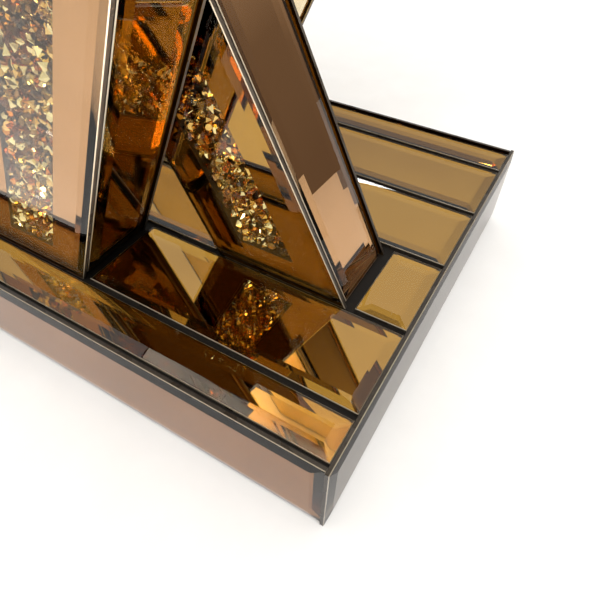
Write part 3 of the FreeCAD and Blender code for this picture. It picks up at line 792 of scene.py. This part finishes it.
# ---------------------------------------------------------------- felt and knob
def make_felt():
    """Felt sheet on the box floor, a little uneven."""
    low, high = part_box("box_lining")
    size = high - low
    deselect()
    bpy.ops.mesh.primitive_grid_add(x_subdivisions=FELT_GRID[0], y_subdivisions=FELT_GRID[1], size=1.0)
    felt = bpy.context.object
    felt.scale = (size.x, size.y, 1.0)
    felt.location = (0.0, (low.y + high.y) / 2, high.z - FELT_DROP)
    place_mesh(felt)
    for vertex in felt.data.vertices:
        x, y = vertex.co.x, vertex.co.y
        swell = math.sin(FELT_WAVES_ACROSS * x + 0.7) * math.sin(FELT_WAVES_ALONG * y + 2.1)
        near_end = (2 * x / size.x) ** 8
        vertex.co.z += FELT_WAVE * swell
        vertex.co.x -= FELT_PULL * math.sin(FELT_END_WAVES * y + 1.3) * near_end
    thick = felt.modifiers.new("thickness", "SOLIDIFY")
    thick.thickness = size.z - FELT_SLACK
    thick.offset = -1.0
    bpy.ops.object.modifier_apply(modifier="thickness")
    finish_piece(felt, "box_lining_felt", "base", [FELT], ["box_lining"])


def make_knob():
    """Cut crystal ball on a turned brass stem, in front of the lid."""
    low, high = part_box("lid_knob")
    radius = (high.z - low.z) / 2
    lid_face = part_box("lid_front_mirror")[0].y
    centre = Vector(((low.x + high.x) / 2, low.y + radius, (low.z + high.z) / 2))
    deselect()
    bpy.ops.mesh.primitive_ico_sphere_add(subdivisions=2, radius=radius * BALL_SHARE, location=centre)
    ball = bpy.context.object
    place_mesh(ball)
    finish_piece(ball, "lid_knob_crystal", "lid", [KNOB_GLASS], ["lid_knob"])

    depth = lid_face - centre.y - radius * STEM_END
    deselect()
    bpy.ops.mesh.primitive_cylinder_add(vertices=48, radius=STEM_RADIUS, depth=depth,
                                        location=(centre.x, lid_face - depth / 2, centre.z),
                                        rotation=(math.pi / 2, 0.0, 0.0))
    stem = bpy.context.object
    place_mesh(stem)
    edge = stem.modifiers.new("soft_edge", "BEVEL")
    edge.width = STEM_EDGE
    edge.segments = 3
    bpy.ops.object.modifier_apply(modifier="soft_edge")
    finish_piece(stem, "lid_knob_stem", "lid", [BRASS_METAL])


# ---------------------------------------------------------------- floor, light and camera
def make_floor():
    """Round pale floor that the object stands on."""
    deselect()
    bpy.ops.mesh.primitive_circle_add(vertices=128, radius=FLOOR_RADIUS, fill_type="NGON")
    floor = bpy.context.object
    floor.name = "studio_floor"
    floor.data.materials.append(FLOOR_PAINT)


def make_world():
    """Soft studio dome, bright overhead and dark at the horizon."""
    world = bpy.data.worlds.new("studio_dome")
    world.use_nodes = True
    bpy.context.scene.world = world
    tree = world.node_tree
    split = tree.nodes.new("ShaderNodeSeparateXYZ")
    tree.links.new(tree.nodes.new("ShaderNodeTexCoord").outputs["Generated"], split.inputs[0])
    ramp = tree.nodes.new("ShaderNodeValToRGB")
    tree.links.new(split.outputs["Z"], ramp.inputs["Fac"])
    stops = ramp.color_ramp.elements
    for stop, (height, light) in zip((stops[0], stops[1]), (DOME[0], DOME[-1])):
        stop.position = height
        stop.color = (*light, 1.0)
    for height, light in DOME[1:-1]:
        stops.new(height).color = (*light, 1.0)
    background = tree.nodes["Background"]
    tree.links.new(ramp.outputs["Color"], background.inputs["Color"])
    background.inputs["Strength"].default_value = DOME_STRENGTH


def add_softbox(name, place, aim, size, power, seen=True, spread=180.0):
    """Flat lamp that looks at aim; one that isn't seen shows in no reflection and through no glass."""
    data = bpy.data.lights.new(name, "AREA")
    data.spread = math.radians(spread)
    data.shape = "RECTANGLE"
    data.size, data.size_y = size
    data.energy = power
    lamp = bpy.data.objects.new(name, data)
    lamp.location = place
    lamp.rotation_euler = (Vector(aim) - Vector(place)).to_track_quat("-Z", "Y").to_euler()
    lamp.visible_glossy = seen
    lamp.visible_transmission = seen
    bpy.context.scene.collection.objects.link(lamp)


def make_lamps():
    """Lamp overhead, a strip behind, and low lamps that light the underside of the box."""
    add_softbox("key_softbox", (0.5, -0.6, 1.6), (0.0, 0.0, 0.1), size=(0.8, 0.5), power=16.0)
    add_softbox("rear_strip", (-0.35, 1.3, 0.43), (0.05, 0.1, 0.055), size=(1.6, 0.045), power=2.4)
    for name, place in LOW_SOFTBOXES.items():
        add_softbox(name, place, UNDERSIDE, size=(0.5, 0.06), power=2.0, seen=False, spread=40.0)


def make_camera():
    """Close view from above the right front corner, looking down across the plinth."""
    data = bpy.data.cameras.new("camera")
    data.sensor_width = CAMERA_SENSOR
    data.lens = CAMERA_LENS
    data.clip_start = 0.01
    camera = bpy.data.objects.new("camera", data)
    look = (CAMERA_AIM - CAMERA_PLACE).to_track_quat("-Z", "Y").to_matrix().to_4x4()
    roll = Matrix.Rotation(CAMERA_ROLL, 4, "Z")
    camera.matrix_world = Matrix.Translation(CAMERA_PLACE) @ look @ roll
    bpy.context.scene.collection.objects.link(camera)
    bpy.context.scene.camera = camera


make_glass()
make_crystals()
make_felt()
make_knob()
make_floor()
make_world()
make_lamps()
make_camera()

scene = bpy.context.scene
scene.view_settings.view_transform = "Standard"
scene.cycles.max_bounces = 24
scene.cycles.glossy_bounces = 12
scene.cycles.transmission_bounces = 24
